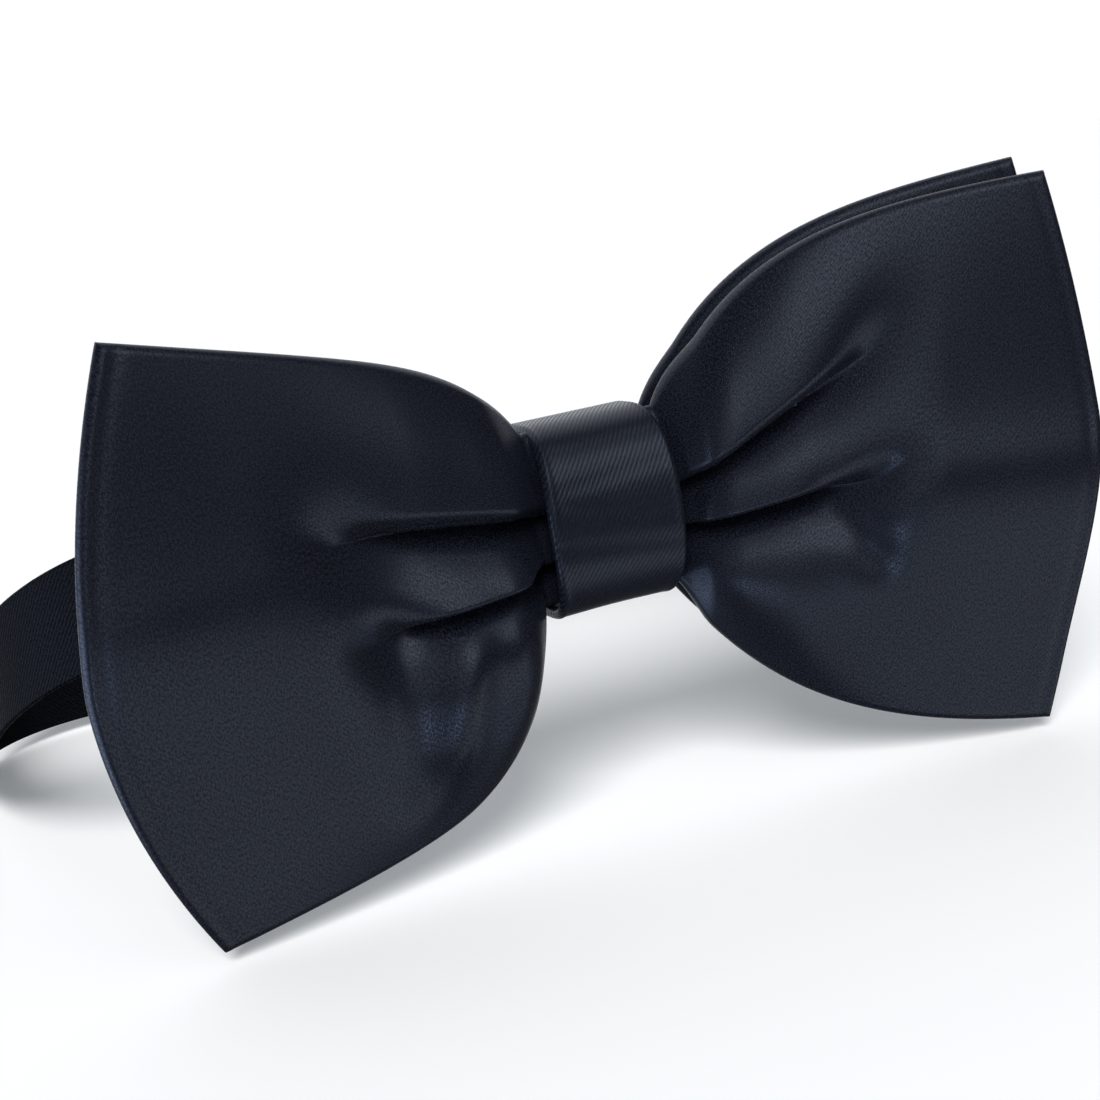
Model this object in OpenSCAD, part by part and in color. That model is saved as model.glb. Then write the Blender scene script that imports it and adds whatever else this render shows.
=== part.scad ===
// Pre-tied bow tie: two stacked satin bows pinched by a knot band, on an adjustable neck strap.
// It stands upright on its lower wing corners and on the strap's lower edge. Front faces -Y.
// The origin is the centre of the knot's flat back, which rests on the collar. Millimetres.

/* [Bow] */
// Height of a bow across its outer corners
bow_h = 65; // [55:1:75]
// Distance from the knot's edge to an outer corner
corner_out = 44.7; // [40:0.1:50]
// Distance from the knot's edge to the outward point of the end edge
apex_out = 52; // [48:0.5:58]
// Height of the outward point above the wing's middle
apex_rise = 5.8; // [0:0.2:10]
// Thickness of one bow: satin, interlining, satin
bow_t = 1.8; // [1.4:0.1:2.2]
// Forward sweep of the front wings, in degrees
front_sweep = 11.4; // [8:0.2:14]
// Forward sweep of the back wings, in degrees
back_sweep = 9; // [2:0.2:11]
// Droop of the outer ends, in degrees
droop = 4.2; // [2:0.2:6]
// Forward lean of the wings' top edges, in degrees
lean = 5; // [0:0.5:6]
// How far the lobes above and below the pleats swell forward
lobe = 4.6; // [2:0.2:5]

/* [Knot] */
// Width of the knot band
knot_w = 16; // [14:0.5:20]
// Height of the knot band
knot_h = 22; // [20:0.5:26]
// Thickness of the folded satin band
knot_t = 1.2; // [1:0.1:1.4]
// How far the band's front face swells forward
knot_crown = 2.4; // [1:0.2:3]

/* [Neck strap] */
// Width of the strap
strap_w = 13; // [10:0.5:15]
// Thickness of the strap
strap_t = 0.8; // [0.6:0.1:1]
// Straight run through the knot, each side of the middle
strap_front = 21; // [20:1:24]
// Radius of the bends beside the wings
front_r = 45; // [42:1:50]
// Straight run along each side of the neck
strap_side = 42; // [40:1:60]
// Radius of the bends at the nape
rear_r = 20; // [18:1:24]
// Distance from the knot at which the strap starts to fall
fall_start = 45; // [40:1:50]
// Distance along the strap over which it falls to the surface
fall_run = 85; // [80:1:100]

/* [Fastening] */
// Radius of the wire in the eye, the hook and the slide
wire_r = 0.6; // [0.5:0.05:0.6]
// Clear width inside the metal pieces
clear_w = 14; // [13.5:0.5:16]
// Length of the eye, from bar to bar
eye_l = 9; // [8:0.5:10]
// Position of the hook's bar from the middle of the nape
hook_x = 28; // [27:0.5:30]
// Position of the slide's middle bar from the middle of the nape
slide_x = -20; // [-21:0.5:-20]
// Length of the slide
slide_l = 10; // [9:0.5:10]

/* [Hidden] */
$fn = 48;

satin = "#171b2a";
lining = "#2a2d36";
thread = "#10131f";
metal = "#b9bcc2";

// Depths, from the knot's flat back at 0 to its front, which is negative.
tunnel_d = 2.2;
strap_y = -(knot_t + tunnel_d / 2);
gather_t = 2.6;
back_gather_y = -(knot_t + tunnel_d + 0.7 + gather_t / 2);
front_gather_y = back_gather_y - gather_t - 0.6;
binding_t = 0.5;
binding_front = front_gather_y - gather_t / 2 - 0.1 - binding_t;
binding_back = back_gather_y + gather_t / 2 + 0.1 + binding_t;
knot_lining_t = 0.4;
cavity_front = binding_front - knot_lining_t - 0.2;
knot_front = cavity_front - knot_t;
cavity_half = knot_h / 2 - knot_t;
gather_half = cavity_half - 1;
gather_end = knot_w / 2 - 0.35;
root_x = knot_w / 2 + 0.2;

// Wings
apex_v = apex_rise / (bow_h / 2);
swell_t = 0.2;
edge_v = 0.8;
ply_gap = 0.5;
wing_low = -(corner_out * sin(droop) + bow_h / 2 * cos(droop)) * cos(lean);

// Strap
fall = -(wing_low + strap_w / 2);
s_front = strap_front;
s_side = s_front + front_r * PI / 2;
s_rear = s_side + strap_side;
s_nape = s_rear + rear_r * PI / 2;
strap_half = strap_front + front_r;
nape_half = strap_half - rear_r;
nape_y = strap_y + front_r + strap_side + rear_r;
bend_reach = 13;
s_bend_0 = s_rear - bend_reach;
s_bend_1 = s_rear + bend_reach;
fold_r = wire_r + 0.1 + strap_t / 2;
ply_lift = strap_t + 0.1;
eye_fold_l = 4;
slide_fold_l = 8;
hook_tail_l = 10;

function smooth(t) = let(c = min(max(t, 0), 1)) c * c * (3 - 2 * c);
function steps(n) = [for (i = [0:n]) i / n];
function mix(a, b, t) = a + (b - a) * t;

// ---- Wings: a height field over t (0 at the knot, 1 at the end edge) and v (-1 bottom, 1 top) ----

function wing_half(t) = mix(gather_half, bow_h / 2, 1 - pow(1 - t, 2.2));
function end_reach(v) = let(w = v > apex_v ? (v - apex_v) / (1 - apex_v) : (apex_v - v) / (1 + apex_v))
    mix(apex_out, corner_out, pow(w, 1.4));
function valley(v, at) = exp(-pow((v - at) / 0.13, 2));
function pleat(v) = 1 - valley(v, 0.1) - valley(v, -0.4) - 0.6 * v * v;
function swell(t) = 0.4 * exp(-t / swell_t) + lobe * t / swell_t * exp(1 - t / swell_t);

// One bow wing, pointing along +X from the knot's edge, thinner all round by inset.
module wing_sheet(thick, inset, pleats, start) {
    nv = 20;
    ts = concat(start < 0 ? [start] : [], [for (a = steps(12)) min(a, 1 - inset / apex_out)]);
    vs = [for (b = steps(nv)) mix(-1, 1, b)];
    function height(v, half) = let(a = abs(v)) sign(v)
        * (a < edge_v ? a * half : mix(edge_v * half, half - inset, (a - edge_v) / (1 - edge_v)));
    function point(t, v, side) = let(tt = max(t, 0), half = wing_half(tt), z = height(v, half))
        [t * end_reach(v), side * thick / 2 - pleats * swell(tt) * pleat(z / half), z];
    nt = len(ts) - 1;
    row = nv + 1;
    layer = (nt + 1) * row;
    points = [for (side = [-1, 1]) for (t = ts) for (v = vs) point(t, v, side)];
    function at(i, j, back) = back * layer + i * row + j;
    faces = concat(
        [for (i = [0:nt - 1]) for (j = [0:nv - 1])
            [at(i, j, 0), at(i, j + 1, 0), at(i + 1, j + 1, 0)]],
        [for (i = [0:nt - 1]) for (j = [0:nv - 1])
            [at(i, j, 0), at(i + 1, j + 1, 0), at(i + 1, j, 0)]],
        [for (i = [0:nt - 1]) for (j = [0:nv - 1])
            [at(i, j, 1), at(i + 1, j, 1), at(i + 1, j + 1, 1)]],
        [for (i = [0:nt - 1]) for (j = [0:nv - 1])
            [at(i, j, 1), at(i + 1, j + 1, 1), at(i, j + 1, 1)]],
        [for (i = [0:nt - 1]) [at(i, 0, 0), at(i + 1, 0, 0), at(i + 1, 0, 1), at(i, 0, 1)]],
        [for (i = [0:nt - 1]) [at(i, nv, 0), at(i, nv, 1), at(i + 1, nv, 1), at(i + 1, nv, 0)]],
        [for (j = [0:nv - 1]) [at(0, j, 0), at(0, j, 1), at(0, j + 1, 1), at(0, j + 1, 0)]],
        [for (j = [0:nv - 1]) [at(nt, j, 0), at(nt, j + 1, 0), at(nt, j + 1, 1), at(nt, j, 1)]]);
    polyhedron(points = points, faces = faces, convexity = 6);
}

module place_wing(side, y, sweep)
    mirror([side < 0 ? 1 : 0, 0, 0])
        translate([root_x, y, 0]) rotate([0, 0, -sweep]) rotate([lean, 0, 0]) rotate([0, droop, 0])
            children();

// Satin tube of one wing, open at the knot end, where its interlining goes in.
module satin_wing(pleats) {
    difference() {
        wing_sheet(bow_t, 0, pleats, 0);
        wing_sheet(bow_t - 2 * ply_gap, 1, pleats, -0.02);
    }
}

module interlining_wing(pleats) wing_sheet(bow_t - 2 * ply_gap - 0.2, 1.2, pleats, 0);

module front_bow_left() color(satin) place_wing(-1, front_gather_y, front_sweep) satin_wing(1);
module front_bow_right() color(satin) place_wing(1, front_gather_y, front_sweep) satin_wing(1);
module back_bow_left() color(satin) place_wing(-1, back_gather_y, back_sweep) satin_wing(0.2);
module back_bow_right() color(satin) place_wing(1, back_gather_y, back_sweep) satin_wing(0.2);
module front_interlining_left()
    color(lining) place_wing(-1, front_gather_y, front_sweep) interlining_wing(1);
module front_interlining_right()
    color(lining) place_wing(1, front_gather_y, front_sweep) interlining_wing(1);
module back_interlining_left()
    color(lining) place_wing(-1, back_gather_y, back_sweep) interlining_wing(0.2);
module back_interlining_right()
    color(lining) place_wing(1, back_gather_y, back_sweep) interlining_wing(0.2);

// ---- Knot: outlines are drawn as [y, z] and pushed along X ----

module along_x(width) translate([-width / 2, 0, 0]) rotate([90, 0, 90]) linear_extrude(width) children();

module rounded_box(y0, y1, half, r) {
    hull() for (y = [y0 + r, y1 - r]) for (z = [-half + r, half - r]) translate([y, z]) circle(r, $fn = 32);
}

// Stack of pleats where a bow passes through the knot: two V folds in its front face,
// with ends that lean as the drooping wings do.
module gather(y, fold_depth) {
    front = y - gather_t / 2;
    back = y + gather_t / 2;
    lean_x = gather_half * tan(droop);
    intersection() {
        along_x(knot_w + 2) polygon([
            [back, -gather_half], [front, -gather_half],
            [front, -0.55 * gather_half], [front + fold_depth, -0.4 * gather_half],
            [front, -0.25 * gather_half], [front, -0.05 * gather_half],
            [front + fold_depth, 0.1 * gather_half], [front, 0.25 * gather_half],
            [front, gather_half], [back, gather_half]]);
        translate([0, back + 1, 0]) rotate([90, 0, 0]) linear_extrude(gather_t + 2) polygon([
            [-gather_end + lean_x, -gather_half], [gather_end - lean_x, -gather_half],
            [gather_end, gather_half], [-gather_end, gather_half]]);
    }
}

module front_gather() color(satin) gather(front_gather_y, 1.6);
module back_gather() color(satin) gather(back_gather_y, 0.8);

// Six turns of thread that pinch both bows together.
module gather_binding() color(thread) {
    turns = 6;
    pitch = 1;
    half = gather_half + 0.1 + binding_t;
    for (i = [0:turns - 1])
        translate([(i - (turns - 1) / 2) * pitch, 0, 0]) along_x(0.7) difference() {
            translate([binding_front, -half]) square([binding_back - binding_front, 2 * half]);
            translate([binding_front + binding_t, -half + binding_t])
                square([binding_back - binding_front - 2 * binding_t, 2 * (half - binding_t)]);
        }
}

module knot_interlining() color(lining)
    translate([-knot_w / 2 + 0.5, cavity_front + 0.1, -cavity_half + 1])
        cube([knot_w - 1, knot_lining_t, 2 * cavity_half - 2]);

// Front outline of the band, swelling forward in the middle.
module knot_outline() {
    n = 24;
    r = 2.4;
    rounded_box(knot_front, 0, knot_h / 2, r);
    polygon([for (a = steps(n)) let(z = mix(-1, 1, a) * (knot_h / 2 - r))
        [knot_front - knot_crown * (1 - pow(z / (knot_h / 2 - r), 2)), z],
        [knot_front + 1, knot_h / 2 - r], [knot_front + 1, -knot_h / 2 + r]]);
}

seam_w = 0.4;
seam_h = 12;

module knot_band() color(satin) difference() {
    along_x(knot_w) difference() {
        knot_outline();
        rounded_box(cavity_front, -knot_t, cavity_half, 1.2);
    }
    translate([-seam_w / 2, -seam_w, -seam_h / 2]) cube([seam_w, 2 * seam_w, seam_h]);
}

// Row of hand stitches that closes the band on its back, sunk level with the face.
module knot_seam_stitches() color(thread) {
    count = 6;
    for (i = [0:count - 1])
        translate([-seam_w / 2, -seam_w, -seam_h / 2 + seam_h / count * (i + 0.15)])
            cube([seam_w, seam_w, seam_h / count * 0.7]);
}

// ---- Strap: its middle line is followed by s, the distance from the knot along the right side ----

function right_xy(s) =
    s < s_front ? [s, strap_y] :
    s < s_side ? let(a = (s - s_front) / front_r * 180 / PI)
        [s_front + front_r * sin(a), strap_y + front_r * (1 - cos(a))] :
    s < s_rear ? [strap_half, strap_y + front_r + s - s_side] :
    s < s_nape ? let(a = (s - s_rear) / rear_r * 180 / PI)
        [nape_half + rear_r * cos(a), strap_y + front_r + strap_side + rear_r * sin(a)] :
    [nape_half - (s - s_nape), nape_y];
function right_heading(s) =
    s < s_front ? 0 :
    s < s_side ? (s - s_front) / front_r * 180 / PI :
    s < s_rear ? 90 :
    s < s_nape ? 90 + (s - s_rear) / rear_r * 180 / PI : 180;
function strap_z(s) = -fall * smooth((s - fall_start) / fall_run);

// A point of a band's middle line is [x, y, z, heading].
function strap_point(s) = let(p = right_xy(abs(s)), h = right_heading(abs(s)))
    s < 0 ? [-p[0], p[1], strap_z(-s), -h] : [p[0], p[1], strap_z(s), h];
function strap_line(s0, s1, n) = [for (a = steps(n)) strap_point(mix(s0, s1, a))];

// A flat band on edge: rectangular section, swept along the line, its width along Z.
module band(line, width) {
    n = len(line) - 1;
    points = [for (p = line) let(side = [-sin(p[3]), cos(p[3])] * strap_t / 2)
        for (k = [[1, 1], [-1, 1], [-1, -1], [1, -1]])
            [p[0] + k[0] * side[0], p[1] + k[0] * side[1], p[2] + k[1] * width / 2]];
    faces = concat([[0, 3, 2, 1]],
        [for (i = [0:n - 1]) for (k = [0:3]) let(m = (k + 1) % 4)
            [4 * i + k, 4 * i + m, 4 * i + 4 + m, 4 * i + 4 + k]],
        [[4 * n, 4 * n + 1, 4 * n + 2, 4 * n + 3]]);
    polyhedron(points = points, faces = faces, convexity = 8);
}

module strap_run(s0, s1, n) color(satin) band(strap_line(s0, s1, n), strap_w);

module strap_front_run() strap_run(-fall_start, fall_start, 12);
module strap_left_side() strap_run(-s_bend_0, -fall_start, 12);
module strap_right_side() strap_run(fall_start, s_bend_0, 12);
module strap_left_bend() strap_run(-s_bend_1, -s_bend_0, 6);
module strap_right_bend() strap_run(s_bend_0, s_bend_1, 6);

// Points in the nape's own frame: x along the nape, out away from the neck.
function nape(x, out, heading) = [x, nape_y + out, -fall, heading];
// Half turn round a bar at x, from the inner ply to the outer one; dir is the side that the strap is on.
function turn(x, out, dir) = [for (a = steps(12))
    nape(x - dir * fold_r * sin(180 * a), out + fold_r * (1 - cos(180 * a)), (dir > 0 ? 180 : 0) - dir * 180 * a)];
// Tail that comes back along the strap and lies down on the ply below it.
function tail(x, out, dir, length) = let(h = dir > 0 ? 0 : 180, high = out + 2 * fold_r, low = out + ply_lift)
    [nape(x + dir * 1, high, h), nape(x + dir * 2, high - 0.25, h), nape(x + dir * 4, low + 0.25, h),
        nape(x + dir * 5, low, h), nape(x + dir * length, low, h)];

// Right end: bends round the nape, turns round the hook's bar and is sewn down.
module strap_hook_end() color(satin)
    band(concat(strap_line(s_bend_1, s_nape, 6), turn(hook_x, 0, 1), tail(hook_x, 0, 1, hook_tail_l)), strap_w);

// Rows of stitches across a tail. The thread lies on the cloth.
module tail_stitches(x, out, dir, length) color(thread) {
    rows = 2;
    row_gap = 1.6;
    count = 7;
    stitch = strap_w / count * 0.65;
    for (r = [0:rows - 1]) for (i = [0:count - 1])
        translate([x + dir * (length - 0.9 - row_gap * r) - 0.2, nape_y + out + ply_lift + strap_t / 2,
            -fall + (i + 0.5 - count / 2) * strap_w / count - stitch / 2])
            cube([0.4, 0.2, stitch]);
}

module hook_fold_stitches() tail_stitches(hook_x, 0, 1, hook_tail_l);

// Left end: runs to the slide, then as a double ply round the eye and back to the slide's bar.
ply_start = -nape_half;
module strap_slide_end() strap_run(-s_nape, -s_bend_1, 6);

module adjuster_inner_ply() color(satin)
    band([nape(ply_start, 0, 0), nape(-eye_fold_l, 0, 0)], strap_w);

module adjuster_outer_ply() color(satin)
    band([nape(slide_x + slide_fold_l, ply_lift, 0), nape(-eye_fold_l, 2 * fold_r, 0)], strap_w);

module eye_fold() color(satin)
    band(concat([nape(-eye_fold_l, 0, 0)], turn(0, 0, -1), [nape(-eye_fold_l, 2 * fold_r, 180)]), strap_w);

module slide_fold() color(satin)
    band(concat([nape(slide_x + slide_fold_l, ply_lift, 180)], turn(slide_x, ply_lift, 1),
        tail(slide_x, ply_lift, 1, slide_fold_l)), strap_w);

module slide_fold_stitches() tail_stitches(slide_x, ply_lift, 1, slide_fold_l);

// ---- Metal ----

module rod(a, b) {
    d = b - a;
    length = norm(d);
    translate(a) rotate([0, acos(d[2] / length), atan2(d[1], d[0])]) cylinder(r = wire_r, h = length);
}

// Closed wire loop through the corners, with round elbows.
module wire_loop(corners) {
    n = len(corners);
    for (i = [0:n - 1]) {
        rod(corners[i], corners[(i + 1) % n]);
        translate(corners[i]) sphere(wire_r);
    }
}

arm_z = clear_w / 2 + wire_r;

module at_nape(x, out) translate([x, nape_y + out, -fall]) children();

// Rectangular eye: its bar at 0 turns in the strap's fold, and the hook goes through it.
module eye_ring() color(metal) at_nape(0, fold_r)
    wire_loop([[0, 0, -arm_z], [0, 0, arm_z], [eye_l, 0, arm_z], [eye_l, 0, -arm_z]]);

// Hook: wire frame round the strap's fold, with a flat tongue that turns back towards the neck.
hook_frame_l = 6;
tongue_l = 6;
tongue_w = 5;
tongue_t = 0.9;
lip_r = 1.5;
module hook() color(metal) at_nape(hook_x, fold_r) {
    wire_loop([[0, 0, -arm_z], [0, 0, arm_z], [-hook_frame_l, 0, arm_z], [-hook_frame_l, 0, -arm_z]]);
    translate([-hook_frame_l - tongue_l, -tongue_t / 2, -tongue_w / 2]) cube([tongue_l, tongue_t, tongue_w]);
    translate([-hook_frame_l - tongue_l, -lip_r, -tongue_w / 2])
        rotate([0, 0, 90]) rotate_extrude(angle = 180)
            translate([lip_r - tongue_t / 2, 0]) square([tongue_t, tongue_w]);
    translate([-hook_frame_l - tongue_l, -2 * lip_r - tongue_t / 2, -tongue_w / 2])
        cube([tongue_l / 2, tongue_t, tongue_w]);
}

// Slide: end bars on the neck side of the strap, and a middle bar on its outer side in the fold.
module slide_buckle() color(metal) at_nape(slide_x, 0) {
    bar_out = ply_lift + fold_r;
    bar_t = 0.9;
    low = -strap_t / 2 - 0.2 - bar_t;
    rail_t = 1.2;
    for (side = [-1, 1]) {
        translate([-slide_l / 2, low, side > 0 ? clear_w / 2 : -clear_w / 2 - rail_t])
            cube([slide_l, bar_out + wire_r - low, rail_t]);
        translate([side > 0 ? slide_l / 2 - 1.4 : -slide_l / 2, low, -clear_w / 2 - 0.1])
            cube([1.4, bar_t, clear_w + 0.2]);
    }
    translate([0, bar_out, -clear_w / 2 - 0.1]) cylinder(r = wire_r, h = clear_w + 0.2);
}

knot_band();
knot_interlining();
knot_seam_stitches();
gather_binding();
front_gather();
back_gather();
front_bow_left();
front_bow_right();
back_bow_left();
back_bow_right();
front_interlining_left();
front_interlining_right();
back_interlining_left();
back_interlining_right();
strap_front_run();
strap_left_side();
strap_right_side();
strap_left_bend();
strap_right_bend();
strap_hook_end();
hook_fold_stitches();
strap_slide_end();
adjuster_inner_ply();
adjuster_outer_ply();
slide_fold();
slide_fold_stitches();
slide_buckle();
eye_fold();
eye_ring();
hook();
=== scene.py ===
"""Looks of the pre-tied satin bow tie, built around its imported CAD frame.

Lengths are in millimetres in the row frame: +Z is up as worn, and the bow's face looks along
-Y. They become metres where a mesh is made.
"""

import math

import bmesh
import bpy
import numpy as np
from mathutils import Matrix, Vector

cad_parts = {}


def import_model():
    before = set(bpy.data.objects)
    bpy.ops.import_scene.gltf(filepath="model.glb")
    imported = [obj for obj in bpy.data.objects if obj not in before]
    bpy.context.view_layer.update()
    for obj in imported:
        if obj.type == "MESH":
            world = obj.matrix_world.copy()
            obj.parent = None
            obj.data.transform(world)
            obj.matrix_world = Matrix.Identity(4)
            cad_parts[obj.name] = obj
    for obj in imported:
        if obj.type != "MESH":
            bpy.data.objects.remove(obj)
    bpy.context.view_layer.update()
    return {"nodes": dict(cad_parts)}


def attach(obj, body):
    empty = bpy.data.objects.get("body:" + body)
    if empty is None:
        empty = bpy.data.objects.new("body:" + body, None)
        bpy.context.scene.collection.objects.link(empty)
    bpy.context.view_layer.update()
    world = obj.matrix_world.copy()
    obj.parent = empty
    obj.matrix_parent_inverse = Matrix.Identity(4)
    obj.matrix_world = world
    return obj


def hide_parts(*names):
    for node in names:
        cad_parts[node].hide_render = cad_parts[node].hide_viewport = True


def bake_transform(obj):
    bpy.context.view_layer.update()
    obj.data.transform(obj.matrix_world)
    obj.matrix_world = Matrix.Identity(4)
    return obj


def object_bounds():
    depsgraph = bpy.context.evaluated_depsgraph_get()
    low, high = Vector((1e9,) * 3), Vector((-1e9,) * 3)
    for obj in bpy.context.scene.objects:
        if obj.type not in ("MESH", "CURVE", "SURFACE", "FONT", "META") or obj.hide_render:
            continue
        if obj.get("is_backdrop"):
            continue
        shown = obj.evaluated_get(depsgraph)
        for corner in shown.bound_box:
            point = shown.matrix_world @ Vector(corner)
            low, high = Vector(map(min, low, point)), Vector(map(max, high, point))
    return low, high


MM = 0.001

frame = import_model()


# ---- Numbers shared with the CAD ----

# Bow: the middle surfaces of both gathers, and where the wings leave the knot
FRONT_GATHER_Y, BACK_GATHER_Y = -8.6, -5.4
ROOT_X = 8.0
BOW_HALF = 32.5

# Strap: half of its front run, the front bend, its side run, the bend beside the nape, and
# how far it comes down on its way back
STRAP_W, STRAP_T = 13.0, 0.8
STRAP_Y = -2.3
FRONT, FRONT_R, SIDE, REAR_R = 21.0, 45.0, 42.0, 20.0
FALL, FALL_START, FALL_RUN = 29.05, 45.0, 85.0

# Metal parts' bars, and the tape turned round them
WIRE_R, PLAY = 0.6, 0.1
EYE_X, SLIDE_X, HOOK_X = 0.0, -20.0, 28.0
EYE_FOLD_L, SLIDE_FOLD_L, HOOK_TAIL_L = 4.0, 8.0, 10.0
FOLD_R = WIRE_R + PLAY + STRAP_T / 2
PLY_LIFT = STRAP_T + PLAY

# Distances along the strap's middle line at which its stretches end
S_FRONT = FRONT
S_SIDE = S_FRONT + FRONT_R * math.pi / 2
S_REAR = S_SIDE + SIDE
S_NAPE = S_REAR + REAR_R * math.pi / 2
NAPE_HALF = FRONT + FRONT_R - REAR_R
NAPE_Y = STRAP_Y + FRONT_R + SIDE + REAR_R


def smooth(t):
    """Eases from 0 to 1 as t does."""
    t = np.clip(t, 0.0, 1.0)
    return t * t * (3.0 - 2.0 * t)


def mix(a, b, t):
    return a + (b - a) * t


def gauss(x, width):
    return np.exp(-(x / width) ** 2)


# ---- Camera ----

CAMERA_TURN = (-20.83, 11.17, -9.54)  # azimuth, elevation and roll
CAMERA_DISTANCE, CAMERA_ACROSS, CAMERA_RISE = 219.9, -2.8, -5.0
SENSOR_W, LENS = 36.0, 62.1818


def add_camera():
    azimuth, elevation, roll = (math.radians(a) for a in CAMERA_TURN)
    back = np.array([math.sin(azimuth) * math.cos(elevation),
                     -math.cos(azimuth) * math.cos(elevation), math.sin(elevation)])
    right = np.array([math.cos(azimuth), math.sin(azimuth), 0.0])
    up = np.cross(back, right)
    place = CAMERA_ACROSS * right + CAMERA_RISE * up + CAMERA_DISTANCE * back
    right, up = (math.cos(roll) * right + math.sin(roll) * up,
                 -math.sin(roll) * right + math.cos(roll) * up)
    data = bpy.data.cameras.new("camera")
    data.sensor_width, data.lens = SENSOR_W, LENS
    data.clip_start = 0.01
    data.clip_end = 20.0
    camera = bpy.data.objects.new("camera", data)
    camera.matrix_world = Matrix([
        [right[0], up[0], back[0], place[0] * MM],
        [right[1], up[1], back[1], place[1] * MM],
        [right[2], up[2], back[2], place[2] * MM],
        [0, 0, 0, 1]])
    bpy.context.scene.collection.objects.link(camera)
    bpy.context.scene.camera = camera


add_camera()


# ---- Mesh building ----

WELD = 0.002


def mesh_object(name, points, faces, uvs, material, weld=0.0):
    """A smooth mesh from points in mm, with one pair of cloth coordinates in mm for each."""
    data = bpy.data.meshes.new(name)
    data.from_pydata((np.asarray(points) * MM).tolist(), [], faces)
    layer = data.uv_layers.new(name="cloth")
    corner = np.zeros(len(data.loops), np.int32)
    data.loops.foreach_get("vertex_index", corner)
    layer.data.foreach_set("uv", np.asarray(uvs, float)[corner].ravel())
    if weld:
        work = bmesh.new()
        work.from_mesh(data)
        bmesh.ops.remove_doubles(work, verts=work.verts, dist=weld * MM)
        bmesh.ops.dissolve_degenerate(work, edges=work.edges, dist=weld * MM)
        bmesh.ops.recalc_face_normals(work, faces=work.faces)
        work.to_mesh(data)
        work.free()
    data.polygons.foreach_set("use_smooth", [True] * len(data.polygons))
    data.update()
    piece = bpy.data.objects.new(name, data)
    bpy.context.scene.collection.objects.link(piece)
    data.materials.append(material)
    return piece


def loop_grid_faces(rows, ring):
    """Quads of a grid of rows whose points run round a closed ring."""
    faces = []
    for i in range(rows - 1):
        for j in range(ring):
            k = (j + 1) % ring
            faces.append((i * ring + j, i * ring + k, (i + 1) * ring + k, (i + 1) * ring + j))
    return faces


def shell_object(name, front, back, uv, material):
    """A closed sheet from its front and back grids. They meet along three sides, which are
    welded, and a strip closes the first row."""
    rows, cols = front.shape[:2]
    points = np.concatenate([front, back[:, ::-1]], axis=1)
    uvs = np.concatenate([uv, uv[:, ::-1]], axis=1)
    ring = 2 * cols
    faces = loop_grid_faces(rows, ring)
    for j in range(cols - 1):
        faces.append((j + 1, j, ring - 1 - j, ring - 2 - j))
    return mesh_object(name, points.reshape(-1, 3), faces, uvs.reshape(-1, 2), material, WELD)


def spaced(stops):
    """Joins runs of (start, end, steps, ease) into one list of values. Ease 1 packs them at
    the run's end, -1 at its start, 0 nowhere."""
    values = []
    for start, end, count, ease in stops:
        t = np.linspace(0, 1, count + 1)
        if ease == 1:
            t = np.sin(t * math.pi / 2)
        elif ease == -1:
            t = 1 - np.cos(t * math.pi / 2)
        run = start + (end - start) * t
        values.extend(run if not values else run[1:])
    return np.array(values)


# ---- Materials ----

def node_tree(name):
    material = bpy.data.materials.new(name)
    material.use_nodes = True
    return material, material.node_tree.nodes, material.node_tree.links


def texture_vector(nodes, links, scale, turn=0.0):
    """Cloth coordinates in mm, turned and scaled."""
    uv = nodes.new("ShaderNodeUVMap")
    uv.uv_map = "cloth"
    mapping = nodes.new("ShaderNodeMapping")
    mapping.inputs["Scale"].default_value = (scale[0], scale[1], 1.0)
    mapping.inputs["Rotation"].default_value = (0.0, 0.0, turn)
    links.new(uv.outputs["UV"], mapping.inputs["Vector"])
    return mapping.outputs["Vector"]


def noise(nodes, links, vector, scale, detail=2.0, rough=0.5):
    node = nodes.new("ShaderNodeTexNoise")
    node.inputs["Scale"].default_value = scale
    node.inputs["Detail"].default_value = detail
    node.inputs["Roughness"].default_value = rough
    links.new(vector, node.inputs["Vector"])
    return node.outputs["Fac"]


def wave(nodes, links, vector, distortion):
    node = nodes.new("ShaderNodeTexWave")
    node.wave_type = "BANDS"
    node.bands_direction = "X"
    node.wave_profile = "SIN"
    node.inputs["Scale"].default_value = 1.0
    node.inputs["Distortion"].default_value = distortion
    node.inputs["Detail"].default_value = 1.0
    node.inputs["Detail Scale"].default_value = 2.0
    links.new(vector, node.inputs["Vector"])
    return node.outputs["Fac"]


def maths(nodes, links, operation, a, b):
    node = nodes.new("ShaderNodeMath")
    node.operation = operation
    for socket, value in zip(node.inputs, (a, b)):
        if isinstance(value, (int, float)):
            socket.default_value = value
        else:
            links.new(value, socket)
    return node.outputs[0]


def ramp(nodes, links, factor, stops):
    node = nodes.new("ShaderNodeValToRGB")
    elements = node.color_ramp.elements
    while len(elements) < len(stops):
        elements.new(0.5)
    for element, (at, colour) in zip(elements, stops):
        element.position = at
        element.color = (*colour, 1.0)
    links.new(factor, node.inputs["Fac"])
    return node.outputs["Color"]


# The wave texture draws one band in this many of its own units.
WAVE_PERIOD = math.pi / 10.0
YARN_PITCH, YARN_TURN = 0.27, -1.25
ROUGHNESS_SPREAD = 0.13
GLOSS_TINT, SHEEN_TINT = (0.75, 0.82, 1.0, 1.0), (0.55, 0.65, 1.0, 1.0)
NAVY_SHADE, NAVY = (0.0001, 0.0002, 0.0005), (0.0080, 0.0093, 0.0155)
# The strap's tape: a dark colour pushed to near black, darker than the bow's navy, by painted shade
STRAP_PAINTED_SHADE_DEEP, STRAP_PAINTED_SHADE = (0.0003, 0.0004, 0.0007), (0.0035, 0.004, 0.0055)


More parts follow.
